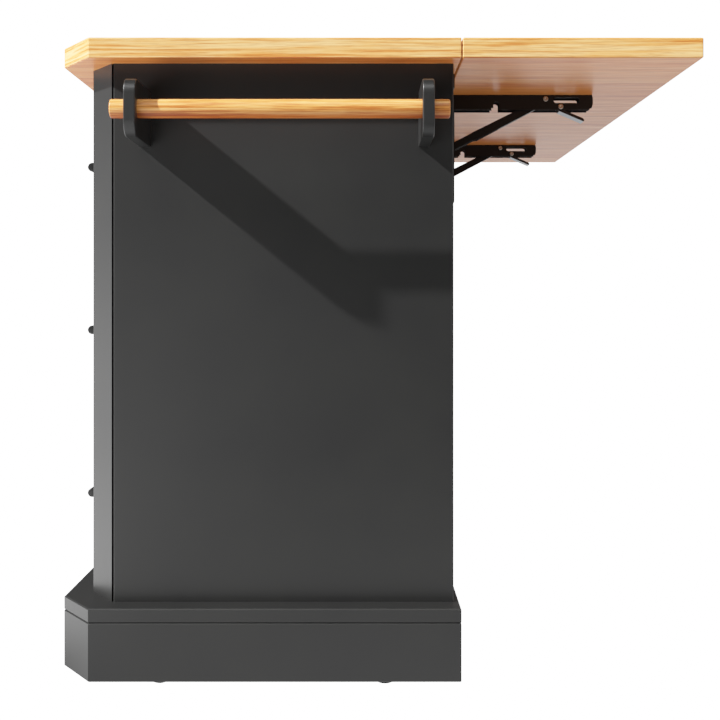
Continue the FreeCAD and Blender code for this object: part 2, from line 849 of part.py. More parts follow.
def make_release_lever(x):
    """Squeeze lever: two cheeks on the stub rivets and a tongue that slopes down under the arm."""
    inside = lever_half - steel
    body = side_prism(x - lever_half, x + lever_half, lever_cheek)
    body = body.fuse(side_disc(lever_hub, x - lever_half, x + lever_half, lever_at))
    hollow = side_box(x - inside, x + inside, (0, arm_end), (0, wall_length))
    tongue = side_prism(x - lever_half, x + lever_half, lever_tongue)
    body = body.cut(hollow).fuse(tongue).removeSplitter()
    return body.cut(side_disc(rivet_radius + pivot_play, x - lever_half - 1, x + lever_half + 1, lever_at))


def wall_arm_screws(x):
    """Screws through the wall arm's back into the cabinet back."""
    tip_y = case_back + steel - wall_screw_length
    return [wood_screw(V(x, tip_y, under - down), V(0, 1, 0), wall_screw_length)
            for down in wall_screw_down]


def shelf_arm_screws(x):
    """Screws through the shelf arm up into the leaf."""
    tip_z = under - steel + leaf_screw_length
    return [wood_screw(V(x, case_back + out, tip_z), V(0, 0, -1), leaf_screw_length)
            for out in (*leaf_screw_out, arm_end - leaf_screw_in)]


# ---- hidden screws of the top and towel rail --------------------------------------------------------
def top_screws():
    """Up through the stretchers into the top."""
    solids = []
    outer = opening - top_screw_in
    for x in (-outer, 0.0, outer):
        for y in (frame_front + stretcher_width / 2, back_front - stretcher_width / 2):
            tip = V(x, y, under + top_screw_bite)
            solids.append(wood_screw(tip, V(0, 0, -1), board + top_screw_bite))
    return solids


def rail_screws():
    """Out through the side panel into the towel brackets."""
    solids = []
    for row in rail_rows():
        for z in (rail_bottom + rail_screw_inset, rail_bottom + rail_height - rail_screw_inset):
            tip = V(side_out + rail_screw_bite, row, z)
            solids.append(wood_screw(tip, V(-1, 0, 0), board + rail_screw_bite))
    return solids


# ---- casters --------------------------------------------------------------------------------------
def caster_spots():
    """Swivel axis (x, y) of each caster."""
    right = half - caster_in
    front = front_y + caster_front_in
    back = top_back - caster_back_in
    return {"front_right": (right, front), "rear_right": (right, back),
            "front_left": (-right, front), "rear_left": (-right, back)}


def turned(solid, name):
    """Takes a piece drawn with its swivel axis at the origin and its trail along +X to its place."""
    x, y = caster_spots()[name]
    placed = solid.copy()
    placed.rotate(V(0, 0, 0), V(0, 0, 1), caster_turn[name])
    placed.translate(V(mid_x + x, y, 0))
    return placed


def make_caster_plates():
    """Square plate, ball cup and king pin, one solid for each caster."""
    size, thick = caster_plate
    solids = []
    for name in caster_spots():
        x, y = caster_spots()[name]
        plate = box(x - size / 2, x + size / 2, y - size / 2, y + size / 2,
                    caster_height - thick, caster_height)
        cup = cylinder(cup_radius, cup_deep, V(x, y, caster_height - thick - cup_deep), V(0, 0, 1))
        low = caster_height - thick - cup_deep - crown_deep - 2 * crown_play - king_head[1]
        king = cylinder(king_radius, caster_height - thick - low, V(x, y, low), V(0, 0, 1))
        head = cylinder(king_head[0], king_head[1], V(x, y, low), V(0, 0, 1))
        solids.append(plate.fuse([cup, king, head]).removeSplitter())
    return group(solids)


def make_caster_fork(name):
    """Crown disc with two legs down to the axle, and the axle across them."""
    crown_top = caster_height - caster_plate[1] - cup_deep - crown_play
    crown_low = crown_top - crown_deep
    leg_in = wheel_half + fork_gap
    leg_out = leg_in + fork_steel
    bridge = Part.makeBox(crown_back + leg_front, 2 * leg_out, crown_deep,
                          V(-crown_back, -leg_out, crown_low))
    fork = Part.makeCylinder(cup_radius, crown_deep, V(0, 0, crown_low)).fuse(bridge)
    for y in (-leg_out, leg_in):
        ring = [V(-crown_back, y, crown_low), V(leg_front, y, crown_low), V(trail + leg_foot, y, wheel_radius),
                V(trail + leg_foot - leg_cut, y, wheel_radius - leg_foot),
                V(trail - leg_foot + leg_cut, y, wheel_radius - leg_foot)]
        fork = fork.fuse(Part.Face(Part.makePolygon(ring + ring[:1])).extrude(V(0, fork_steel, 0)))
    fork = fork.removeSplitter()
    king_bore = Part.makeCylinder(king_radius + king_play, crown_deep + 2, V(0, 0, crown_low - 1))
    axle_length = 2 * (leg_out + axle_end)
    axle = Part.makeCylinder(axle_radius, axle_length, V(trail, -leg_out - axle_end, wheel_radius),
                             V(0, 1, 0))
    fork = fork.cut(king_bore).cut(axle)
    return turned(group([fork, axle]), name)


def make_caster_wheel(name):
    wheel = Part.makeCylinder(wheel_radius, 2 * wheel_half, V(trail, -wheel_half, wheel_radius), V(0, 1, 0))
    rims = [edge for edge in wheel.Edges if edge.Closed]
    wheel = wheel.makeFillet(tread_round, rims)
    for side in (-1, 1):
        start = V(trail, side * wheel_half, wheel_radius)
        dish = Part.makeCylinder(dish_radius, dish_deep, start, V(0, -side, 0))
        hub = Part.makeCylinder(hub_radius, dish_deep, start, V(0, -side, 0))
        wheel = wheel.cut(dish.cut(hub))
    bore = Part.makeCylinder(axle_radius + wheel_play, 2 * wheel_half + 2,
                             V(trail, -wheel_half - 1, wheel_radius), V(0, 1, 0))
    return turned(wheel.cut(bore), name)


# ---- assembly -------------------------------------------------------------------------------------
def screwed(solid, screws):
    """A piece with close holes for the screws that bite into it."""
    return solid.cut(Part.makeCompound(screws))


def make_all():
    """Every node by name."""
    wall_screws = [s for x in bracket_x for s in wall_arm_screws(x)]
    leaf_screws = [s for x in bracket_x for s in shelf_arm_screws(x)]
    frame_screws = top_screws() + rail_screws()
    pins = make_shelf_pins()
    nodes = {
        "tabletop": screwed(make_tabletop(), top_screws()),
        "drop_leaf": screwed(make_leaf(), leaf_screws),
        "side_panel_right": screwed(make_side_panel(), rail_screws()),
        "side_panel_left": mirrored(make_side_panel()).cut(pins),
        "corner_post_right": make_corner_post(),
        "corner_post_left": mirrored(make_corner_post()),
        "centre_stile": make_centre_stile(),
        "back_panel": screwed(make_back_panel(), wall_screws),
        "bottom_board": make_bottom_board(),
        "top_stretchers": screwed(make_top_stretchers(), top_screws()),
        "partitions": make_partitions().cut(pins),
        "cupboard_shelf": make_shelf(),
        "shelf_pins": pins,
        "rear_battens": make_rear_battens(),
        "base_moulding": make_base_moulding(),
        "plinth_boards": make_plinth_boards(),
        "caster_boards": make_caster_boards(),
        "towel_brackets": screwed(make_towel_brackets(), rail_screws()),
        "towel_rod": make_towel_rod(),
        "frame_screws": group(frame_screws),
        "cabinet_runners": make_cabinet_runners(),
        "hinge_frame_halves": make_hinge_frame_halves(),
        "magnet_catches": make_magnet_catches(),
        "bracket_wall_arms": screwed(group([wall_arm(x) for x in bracket_x]), wall_screws),
        "bracket_wall_screws": group(wall_screws),
        "bracket_pins": group([s for x in bracket_x for s in main_pins(x)]),
        "bracket_shelf_arms": screwed(group([shelf_arm(x) for x in bracket_x]), leaf_screws),
        "bracket_leaf_screws": group(leaf_screws),
        "bracket_rivets": group([s for x in bracket_x for s in arm_rivets(x)]),
        "bracket_struts": group([s for x in bracket_x for s in (strut(x), knee_pin(x))]),
        "bracket_lower_links": group([s for x in bracket_x for s in [lower_link(x)] + knee_caps(x)]),
        "release_lever_right": make_release_lever(bracket_x[0]),
        "release_lever_left": make_release_lever(bracket_x[1]),
        "caster_plates": make_caster_plates(),
    }
    for index, name in enumerate(drawer_names):
        nodes["drawer_front_" + name] = make_drawer_front(index)
        nodes["drawer_box_" + name] = make_drawer_box(index)
        nodes["drawer_runners_" + name] = make_drawer_runners(index)
        nodes["drawer_pull_" + name] = make_drawer_pull(index)
    for name in doors:
        nodes["door_" + name] = make_door(name)
        nodes["door_pull_" + name] = make_door_pull(name)
        nodes["door_fittings_" + name] = make_door_fittings(name)
    for name in caster_spots():
        nodes["caster_fork_" + name] = make_caster_fork(name)
        nodes["caster_wheel_" + name] = make_caster_wheel(name)
    return nodes


def joint_limits():
    """Travel of each moving piece: its name, the place of its axis (x, y, z) where it turns, and its limit."""
    rows = []
    for text, place, limit in (("leaf", hinge_at, leaf_open), ("squeeze levers", lever_at, lever_pressed)):
        y, z = side_point(place)
        rows.append((text, (mid_x, y, z), "%g degrees" % limit))
    for name in doors:
        place = (mid_x + hinge_axis_x(name), hinge_y, 0.0)
        rows.append(("door " + name, place, "%g degrees" % door_open[name]))
    rows.append(("each drawer", "out along -Y", "%g mm" % drawer_travel))
    return rows


os.makedirs("parts", exist_ok=True)
for node, shape in make_all().items():
    shape.exportStep("parts/" + node + ".step")
    print(node, len(shape.Solids), "solids", round(shape.Volume / 1000.0, 2), "cm3")
for row in joint_limits():
    print(*row)
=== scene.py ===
# %% [markdown]
# Drop leaf kitchen island, seen from the end with the towel rail. The shapes of boards and hardware come
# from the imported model, which is loaded first and never moved. This lesson gives each of them the finish of
# the real thing, and turns the round pieces anew on finer grids.

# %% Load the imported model
import bpy
import math
import numpy as np
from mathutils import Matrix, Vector


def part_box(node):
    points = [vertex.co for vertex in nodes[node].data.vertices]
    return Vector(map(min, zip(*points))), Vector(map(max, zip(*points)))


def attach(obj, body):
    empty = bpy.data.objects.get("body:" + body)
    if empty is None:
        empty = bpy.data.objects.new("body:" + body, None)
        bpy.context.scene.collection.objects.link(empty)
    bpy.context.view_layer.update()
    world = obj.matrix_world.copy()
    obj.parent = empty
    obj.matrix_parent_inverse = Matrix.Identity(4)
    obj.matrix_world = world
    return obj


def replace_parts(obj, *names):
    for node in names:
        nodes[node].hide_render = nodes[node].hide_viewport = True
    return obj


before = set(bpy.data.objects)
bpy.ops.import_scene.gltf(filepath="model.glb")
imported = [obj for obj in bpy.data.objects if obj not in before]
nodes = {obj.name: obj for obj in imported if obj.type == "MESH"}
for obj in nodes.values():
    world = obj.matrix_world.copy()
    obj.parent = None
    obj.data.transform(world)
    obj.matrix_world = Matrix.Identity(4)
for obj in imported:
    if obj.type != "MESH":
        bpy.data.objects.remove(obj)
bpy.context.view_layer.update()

# %% [markdown]
# Colours are written as sRGB hex values. They were chosen by comparing renders with the picture.
# Blender mixes light in linear values, so one function turns the hex code into them. One more function adds
# a node to a material, with its settings, its fixed values and its links, which keeps every finish short
# enough to read in one go.

# %% Colour and node helpers
def tint(code):
    """Linear RGBA of an sRGB hex code: c / 12.92 up to 0.04045, above it ((c + 0.055) / 1.055) ^ 2.4."""
    srgb = [int(code[i:i + 2], 16) / 255 for i in (1, 3, 5)]
    return [c / 12.92 if c <= 0.04045 else ((c + 0.055) / 1.055) ** 2.4 for c in srgb] + [1.0]


def add(tree, kind, values={}, links={}, **settings):
    """Adds a node: settings are its own properties, values its fixed sockets, links the sockets it reads."""
    made = tree.nodes.new("ShaderNode" + kind)
    for name, value in settings.items():
        setattr(made, name, value)
    for name, value in values.items():
        made.inputs[name].default_value = value
    for name, source in links.items():
        tree.links.new(source, made.inputs[name])
    return made


def stops(ramp, *pairs):
    """Gives a colour ramp its stops, as (place, hex code) pairs, and returns its colour socket."""
    elements = ramp.color_ramp.elements
    while len(elements) < len(pairs):
        elements.new(0.5)
    for element, (place, code) in zip(elements, pairs):
        element.position = place
        element.color = tint(code)
    return ramp.outputs["Color"]


def new_finish(name):
    """A fresh material with its node tree, its shader node, and the coordinates node."""
    finish = bpy.data.materials.new(name)
    finish.use_nodes = True
    tree = finish.node_tree
    shader = tree.nodes["Principled BSDF"]
    place = add(tree, "TexCoord")
    return finish, tree, shader, place


def dress(finish, *names):
    """Puts a finish into every material slot of the named CAD nodes."""
    for name in names:
        for slot in nodes[name].material_slots:
            slot.material = finish
    print(finish.name, "on", len(names), "nodes")


# %% [markdown]
# The worktop and the leaf are honey coloured oak faced board under a satin lacquer. Fine straight grain
# runs across the island, and the glued strip round all upright edges has its grain along the edge. A noise
# that is stretched along the grain draws the streaks; a finer one draws the pores. The lacquer mirrors the
# bright room at a flat angle, which is what turns faces that look down pale. That pale veil came out
# stronger here than in the picture, so faces that look down get painted shade: a darker tone multiplied
# into their colour. The real board has no such difference.

# %% Lacquered wood
def lacquered_wood(name, light, middle, dark, wrapped_edges=True, painted_underside_shade="#ffffff", ior=1.5):
    """Streaks are noise N(fast * x, slow * y, fast * z) read through three tones, times a finer pore noise.

    Faces that look down get painted shade: they are multiplied by the shade tone, more the more they face the
    floor.
    """
    finish, tree, shader, place = new_finish(name)
    spot = place.outputs["Object"]
    facing = add(tree, "SeparateXYZ", links={0: place.outputs["Normal"]})
    streak_per_m = 280.0     # streaks about 3.5 mm apart
    run_per_m = 6.0          # a streak is about 170 mm long
    pore_share = 3.6         # pores are this many times finer than streaks, about 1 mm
    band_share = 0.16        # bands are this many times the streaks, about 22 mm wide
    grain = add(tree, "Mapping", {"Scale": (streak_per_m, run_per_m, streak_per_m)}, {0: spot}).outputs[0]
    if wrapped_edges:
        edge_grain = add(tree, "Mapping", {"Scale": (run_per_m, run_per_m, streak_per_m)}, {"Vector": spot})
        level = add(tree, "Math", links={0: facing.outputs["Z"]}, operation="ABSOLUTE")
        on_edge = add(tree, "Math", {1: 0.5}, {0: level.outputs[0]}, operation="LESS_THAN")
        grain = add(tree, "Mix", links={0: on_edge.outputs[0], 4: grain, 5: edge_grain.outputs[0]},
                    data_type="VECTOR").outputs[1]
    streaks = add(tree, "TexNoise", {"Scale": 1.0, "Detail": 6.0, "Roughness": 0.66, "Distortion": 0.12},
                  {"Vector": grain})
    finer = add(tree, "VectorMath", {1: (pore_share,) * 3}, {0: grain}, operation="MULTIPLY")
    pores = add(tree, "TexNoise", {"Scale": 1.0, "Detail": 3.0, "Roughness": 0.6}, {0: finer.outputs[0]})
    wider = add(tree, "VectorMath", {1: (band_share,) * 3}, {0: grain}, operation="MULTIPLY")
    bands = add(tree, "TexNoise", {"Scale": 1.0, "Detail": 2.0, "Roughness": 0.5}, {0: wider.outputs[0]})
    mixed = add(tree, "Mix", {0: 0.3}, {2: streaks.outputs[0], 3: bands.outputs[0]}, data_type="FLOAT")
    three_tones = add(tree, "ValToRGB", links={0: mixed.outputs[0]})
    tones = stops(three_tones, (0.42, dark), (0.5, middle), (0.57, light))
    pore_tone = stops(add(tree, "ValToRGB", links={0: pores.outputs[0]}), (0.38, "#b98550"), (0.5, "#ffffff"))
    wood = add(tree, "Mix", {0: 0.5}, {6: tones, 7: pore_tone}, data_type="RGBA", blend_type="MULTIPLY")
    # Painted shade: the colour is darkened on faces that look down, the more so the more they face the floor.
    below = add(tree, "MapRange", {1: -0.3, 2: -0.8, 3: 0.0, 4: 1.0}, {0: facing.outputs["Z"]})
    painted_shade = add(tree, "Mix", {7: tint(painted_underside_shade)}, {0: below.outputs[0], 6: wood.outputs[2]}, data_type="RGBA",
                 blend_type="MULTIPLY")
    tree.links.new(painted_shade.outputs[2], shader.inputs["Base Color"])
    rough = add(tree, "MapRange", {1: 0.3, 2: 0.7, 3: 0.4, 4: 0.28}, {0: streaks.outputs[0]})
    tree.links.new(rough.outputs[0], shader.inputs["Roughness"])
    relief = add(tree, "Bump", {"Strength": 0.1, "Distance": 0.0002}, {"Height": pores.outputs[0]})
    tree.links.new(relief.outputs[0], shader.inputs["Normal"])
    shader.inputs["IOR"].default_value = ior
    return finish


# Each wood's shade tone is painted shade for faces that look down, not a colour of the board.
top_oak = lacquered_wood("lacquered_honey_oak", "#ffcb88", "#f8b266", "#dc8438", painted_underside_shade="#ffd6b4")
rod_oak = lacquered_wood("turned_honey_oak", "#ffbf76", "#f09f50", "#bd6528", wrapped_edges=False,
                         painted_underside_shade="#cfa88f", ior=1.42)
dress(top_oak, "tabletop", "drop_leaf")

# %% [markdown]
# The cabinet is board sprayed with charcoal lacquer. A sprayed coat is not mirror flat: it has a very fine
# orange peel and a satin gloss that varies a little from pass to pass. Its own tone is nearly black; most
# of the grey that the eye sees is the room in its gloss.

# %% Sprayed charcoal lacquer
def sprayed_lacquer(name, tone, worn):
    """Orange peel is a fine noise of 1.5 mm cells as bump; tone and gloss drift with a noise of 120 mm."""
    finish, tree, shader, place = new_finish(name)
    spot = place.outputs["Object"]
    peel = add(tree, "TexNoise", {"Scale": 650.0, "Detail": 2.0, "Roughness": 0.5}, {"Vector": spot})
    cloud = add(tree, "TexNoise", {"Scale": 8.0, "Detail": 3.0, "Roughness": 0.55}, {"Vector": spot})
    tones = stops(add(tree, "ValToRGB", links={0: cloud.outputs[0]}), (0.3, tone), (0.7, worn))
    tree.links.new(tones, shader.inputs["Base Color"])
    rough = add(tree, "MapRange", {1: 0.3, 2: 0.7, 3: 0.375, 4: 0.395}, {0: cloud.outputs[0]})
    tree.links.new(rough.outputs[0], shader.inputs["Roughness"])
    relief = add(tree, "Bump", {"Strength": 0.04, "Distance": 0.0002}, {"Height": peel.outputs[0]})
    tree.links.new(relief.outputs[0], shader.inputs["Normal"])
    shader.inputs["IOR"].default_value = 1.5
    return finish


charcoal = sprayed_lacquer("sprayed_charcoal_lacquer", "#191919", "#1c1c1b")
dress(charcoal, "side_panel_left", "side_panel_right", "corner_post_left", "corner_post_right",
      "centre_stile", "back_panel", "rear_battens", "base_moulding", "plinth_boards", "towel_brackets",
      "door_left", "door_right", "drawer_front_bottom", "drawer_front_middle", "drawer_front_top")

# %% [markdown]
# The inside of the cabinet and the drawer boxes are birch plywood under clear lacquer: pale, with a fine
# grain.

# %% Clear lacquered birch
birch = lacquered_wood("lacquered_birch_plywood", "#ead3ab", "#dfc39a", "#d2b286")
dress(birch, "bottom_board", "top_stretchers", "partitions", "cupboard_shelf", "caster_boards",
      "drawer_box_bottom", "drawer_box_middle", "drawer_box_top")

# %% [markdown]
# Steel parts come in three finishes: black powder coat on the brackets and pulls, bright zinc on the
# runners, screws and casters, and nickel on the rivets. Powder coat is a slightly pebbled plastic skin.
# Plating is metal.

# %% Powder coat and plating
def powder_coat(name, tones, roughness):
    """Pebbles are a noise of 0.8 mm cells as bump on a dark plastic skin."""
    pebble_per_m = 1200.0
    finish, tree, shader, place = new_finish(name)
    pebble = add(tree, "TexNoise", {"Scale": pebble_per_m, "Detail": 2.0, "Roughness": 0.5},
                 {"Vector": place.outputs["Object"]})
    colour = stops(add(tree, "ValToRGB", links={0: pebble.outputs[0]}), (0.35, tones[0]), (0.65, tones[1]))
    tree.links.new(colour, shader.inputs["Base Color"])
    relief = add(tree, "Bump", {"Strength": 0.12, "Distance": 0.0002}, {"Height": pebble.outputs[0]})
    tree.links.new(relief.outputs[0], shader.inputs["Normal"])
    shader.inputs["Roughness"].default_value = roughness
    return finish


def plated_steel(name, tones, roughness):
    """Rolling marks are a noise stretched along one direction, in colour and roughness of a metal."""
    finish, tree, shader, place = new_finish(name)
    lay = add(tree, "Mapping", {"Scale": (90.0, 1400.0, 1400.0)}, {"Vector": place.outputs["Object"]})
    marks = add(tree, "TexNoise", {"Scale": 1.0, "Detail": 3.0, "Roughness": 0.6}, {"Vector": lay.outputs[0]})
    colour = stops(add(tree, "ValToRGB", links={0: marks.outputs[0]}), (0.3, tones[0]), (0.7, tones[1]))
    tree.links.new(colour, shader.inputs["Base Color"])
    rough = add(tree, "MapRange", {1: 0.3, 2: 0.7, 3: roughness, 4: roughness + 0.12}, {0: marks.outputs[0]})
    tree.links.new(rough.outputs[0], shader.inputs["Roughness"])
    shader.inputs["Metallic"].default_value = 1.0
    return finish, tree, shader, place, colour


black_coat = powder_coat("black_powder_coat", ("#060606", "#0b0b0a"), 0.45)
black_coat.node_tree.nodes["Principled BSDF"].inputs["Specular IOR Level"].default_value = 0.3
dress(black_coat, "bracket_wall_arms", "bracket_shelf_arms", "bracket_struts", "bracket_lower_links")
zinc = plated_steel("bright_zinc_plating", ("#a9adb0", "#c3c7c9"), 0.28)[0]
caster_names = ("front_right", "rear_right", "front_left", "rear_left")
dress(zinc, "shelf_pins", "frame_screws", "cabinet_runners", "caster_plates", "hinge_frame_halves",
      "door_fittings_left", "door_fittings_right", "drawer_runners_bottom", "drawer_runners_middle",
      "drawer_runners_top", *["caster_fork_" + name for name in caster_names])
nickel = plated_steel("nickel_plating", ("#b5a999", "#d2c7ba"), 0.24)[0]
dress(nickel, "bracket_pins", "bracket_rivets")
catch_plastic = powder_coat("moulded_catch_plastic", ("#151515", "#1c1c1c"), 0.6)
dress(catch_plastic, "magnet_catches")

# %% [markdown]
# The squeeze levers are bright on the tongue under the finger and black on the side. They are taken for zinc
# plated strip whose two upright cheeks were dipped black before they were riveted in. Here they are zinc
# plated strip, and the faces that look sideways get a black colour that is no metal.

# %% Release levers, black on the sideways faces
lever_black_sides, tree, shader, place, bare = plated_steel("zinc_strip_with_black_cheeks", ("#b9bec3", "#d3d7da"), 0.3)
facing = add(tree, "SeparateXYZ", links={0: place.outputs["Normal"]})
sideways = add(tree, "Math", links={0: facing.outputs["X"]}, operation="ABSOLUTE")
cheek = add(tree, "Math", {1: 0.5}, {0: sideways.outputs[0]}, operation="GREATER_THAN")
skin = add(tree, "Mix", {7: tint("#0b0b0a")}, {0: cheek.outputs[0], 6: bare}, data_type="RGBA")
tree.links.new(skin.outputs[2], shader.inputs["Base Color"])
plating = add(tree, "Math", {0: 1.0}, {1: cheek.outputs[0]}, operation="SUBTRACT")
tree.links.new(plating.outputs[0], shader.inputs["Metallic"])
dress(lever_black_sides, "release_lever_right", "release_lever_left")

# %% [markdown]
# Everything round on the real island came off a lathe or out of a round mould, so it is drawn that way here
# too: a profile of radii and places along an axis, turned once round. Whole arrays of points are worked out
# at once.

# %% A lathe
def basis(axis):
    """Three unit vectors: the axis, and two at right angles to it and to each other."""
    a = np.array(axis, float) / np.linalg.norm(axis)
    side = np.cross(a, (0.0, 0.0, 1.0) if abs(a[2]) < 0.9 else (1.0, 0.0, 0.0))
    u = side / np.linalg.norm(side)
    return a, u, np.cross(a, u)


def turned(radii, places, origin, axis, segments, closed=False):
    """Point = origin + axis * place + radius * (u cos t + v sin t), t in equal steps; open ends get a fan.

    The profile runs from the low end to the high end outside; a closed one joins its last ring to its first.
    It gives the points and a list of arrays of faces, four corners or three to a face.
    """
    a, u, v = basis(axis)
    turn = np.linspace(0, 2 * np.pi, segments, endpoint=False)
    ring = np.cos(turn)[:, None] * u + np.sin(turn)[:, None] * v
    radii, places = np.asarray(radii, float), np.asarray(places, float)
    points = (np.array(origin) + places[:, None, None] * a + radii[:, None, None] * ring[None]).reshape(-1, 3)
    rows = len(radii)
    i = np.arange(rows if closed else rows - 1)[:, None]
    j = np.arange(segments)[None]
    after, beside = (i + 1) % rows, (j + 1) % segments
    low_row, high_row = i * segments, after * segments
    quads = np.stack([low_row + j, low_row + beside, high_row + beside, high_row + j], -1)
    blocks = [quads.reshape(-1, 4)]
    if not closed:
        ends = np.array([np.array(origin) + a * places[0], np.array(origin) + a * places[-1]])
        k = np.arange(segments)
        low, high, last = len(points), len(points) + 1, (rows - 1) * segments
        blocks.append(np.stack([np.full(segments, low), (k + 1) % segments, k], -1))
        blocks.append(np.stack([np.full(segments, high), last + k, last + (k + 1) % segments], -1))
        points = np.concatenate([points, ends])
    return points, blocks


def piece(name, shapes, finish, body):
    """One object out of several (points, arrays of faces), smooth where faces meet below 35 degrees."""
    start, points, faces = 0, [], []
    for some, blocks in shapes:
        points.append(some)
        for block in blocks:
            faces += (block + start).tolist()
        start += len(some)
    mesh = bpy.data.meshes.new(name)
    mesh.from_pydata(np.concatenate(points).tolist(), [], faces)
    mesh.polygons.foreach_set("use_smooth", [True] * len(faces))
    mesh.materials.append(finish)
    mesh.update()
    mesh.set_sharp_from_angle(angle=math.radians(35))
    made = bpy.data.objects.new(name, mesh)
    bpy.context.scene.collection.objects.link(made)
    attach(made, body)
    print(name, len(points), "shapes,", len(faces), "faces")
    return made


def arc(radius, steps):
    """Quarter circle, from the end face to the side: in from the rim r (1 - sin t), along r (1 - cos t)."""
    t = np.linspace(0, np.pi / 2, steps)
    return radius * (1 - np.sin(t)), radius * (1 - np.cos(t))


# %% [markdown]
# The towel rod is a turned dowel with a softly domed end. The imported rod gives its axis, radius and length.

# %% Towel rod
low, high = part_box("towel_rod")
rod_radius = (high.z - low.z) / 2
inset, along = arc(0.002, 8)
rod_radii = np.concatenate([rod_radius - inset, (rod_radius - inset)[::-1]])
rod_places = np.concatenate([low.y + along, (high.y - along)[::-1]])
rod_shape = turned(rod_radii, rod_places, ((low.x + high.x) / 2, 0, (low.z + high.z) / 2), (0, 1, 0), 96)
rod = piece("towel_rod_turned", [rod_shape], rod_oak, "cabinet")
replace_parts(rod, "towel_rod")

# %% [markdown]
# A bar pull is a round bar with rounded rims on two slim posts. Each post has a small foot where it meets
# the front, and swells a little where it goes into the bar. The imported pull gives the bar's place and size.

# %% Bar pulls
def bar_pull(name, body):
    """Bar = a turned profile with quarter round rims; post = radius + 1.2 mm * exp(-distance / 1.2 mm)."""
    post_radius, post_inset, rim, foot_swell = 0.004, 0.016, 0.0012, 0.0012
    low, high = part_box(name)
    size = high - low
    upright = size.z > size.x
    axis = (0, 0, 1) if upright else (1, 0, 0)
    radius = (size.x if upright else size.z) / 2
    centre = Vector(((low.x + high.x) / 2, low.y + radius, (low.z + high.z) / 2))
    half = (size.z if upright else size.x) / 2
    inset, along = arc(rim, 6)
    radii = np.concatenate([radius - inset, (radius - inset)[::-1]])
    places = np.concatenate([-half + along, (half - along)[::-1]])
    shapes = [turned(radii, places, centre, axis, 48)]
    reach = high.y - centre.y
    steps = np.linspace(radius * 0.6, reach, 24)
    at_bar, at_foot = np.exp(-(steps - radius) / foot_swell), np.exp(-(reach - steps) / foot_swell)
    swell = foot_swell * (at_bar.clip(0, 1.6) + at_foot)
    for side in (-1, 1):
        foot = centre + Vector(axis) * side * (half - post_inset)
        shapes.append(turned(post_radius + swell, steps, foot, (0, 1, 0), 32))
    made = piece(name + "_turned", shapes, pull_coat, body)
    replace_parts(made, name)


pull_coat = powder_coat("satin_black_pull_coat", ("#0a0a0a", "#101010"), 0.38)
for level in ("bottom", "middle", "top"):
    bar_pull("drawer_pull_" + level, "drawer_" + level)
for side in ("left", "right"):
    bar_pull("door_pull_" + side, "door_" + side)

# %% [markdown]
# The wheels are moulded black plastic: a slightly crowned tread with rounded shoulders, a dished web with
# five ribs on each side, and a hub round the axle. The web is a ring grid whose depth rises to a rib at
# five angles.

# %% Caster wheels
def wheel(name, turn_deg, body):
    """Rim and hub are a closed turned profile; a rib rises by exp(-(r * angle off / 1.3 mm) ^ 2)."""
    low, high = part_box(name)
    centre = ((low.x + high.x) / 2, (low.y + high.y) / 2, (low.z + high.z) / 2)
    radius, half, bore, hub, dish, deep = 0.025, 0.009, 0.0031, 0.007, 0.017, 0.0025
    shoulder, rib_width, rib_down, near, rib_count = 0.0025, 0.0013, 0.0006, 1e-5, 5
    lay = math.radians(turn_deg)
    axis = (-math.sin(lay), math.cos(lay), 0.0)
    t = np.linspace(0, np.pi / 2, 7)
    shoulder_r, shoulder_x = radius - shoulder * (1 - np.sin(t)), half - shoulder * (1 - np.cos(t))
    flat_r = np.linspace(hub, dish, 12)
    side_r = np.concatenate([[bore, hub - 0.0005], flat_r, [dish + 0.0004]])
    side_x = np.concatenate([[half, half], np.full(12, half - deep), [half]])
    radii = np.concatenate([side_r, shoulder_r, shoulder_r[::-1], side_r[::-1]])
    places = np.concatenate([side_x, shoulder_x, -shoulder_x[::-1], -side_x[::-1]])
    points, blocks = turned(radii[::-1], places[::-1], centre, axis, 90, closed=True)
    a, u, v = basis(axis)
    off = points - np.array(centre)
    along, across, up = off @ a, off @ u, off @ v
    r = np.hypot(across, up)
    step = 2 * np.pi / rib_count
    nearest = (np.arctan2(up, across) + step / 2) % step - step / 2
    on_web = (r > hub - near) & (r < dish + near) & (np.abs(along) < half - deep + near)
    rib = np.exp(-(r * nearest / rib_width) ** 2) * on_web
    points = points + (np.sign(along) * rib * (deep - rib_down))[:, None] * a
    made = piece(name + "_moulded", [(points, blocks)], tread, body)
    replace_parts(made, name)


tread = powder_coat("moulded_black_tread", ("#101010", "#1a1a1a"), 0.6)
for name, turn_deg in zip(caster_names, (85.0, 80.0, 60.0, 115.0)):
    wheel("caster_wheel_" + name, turn_deg, "wheel_" + name)

# %% [markdown]
# The screws of the folding brackets have flat pan heads with a cross recess. A head is a disc of rings
# whose surface sinks where the point lies in the cross, so the recess is real geometry with sloped walls.

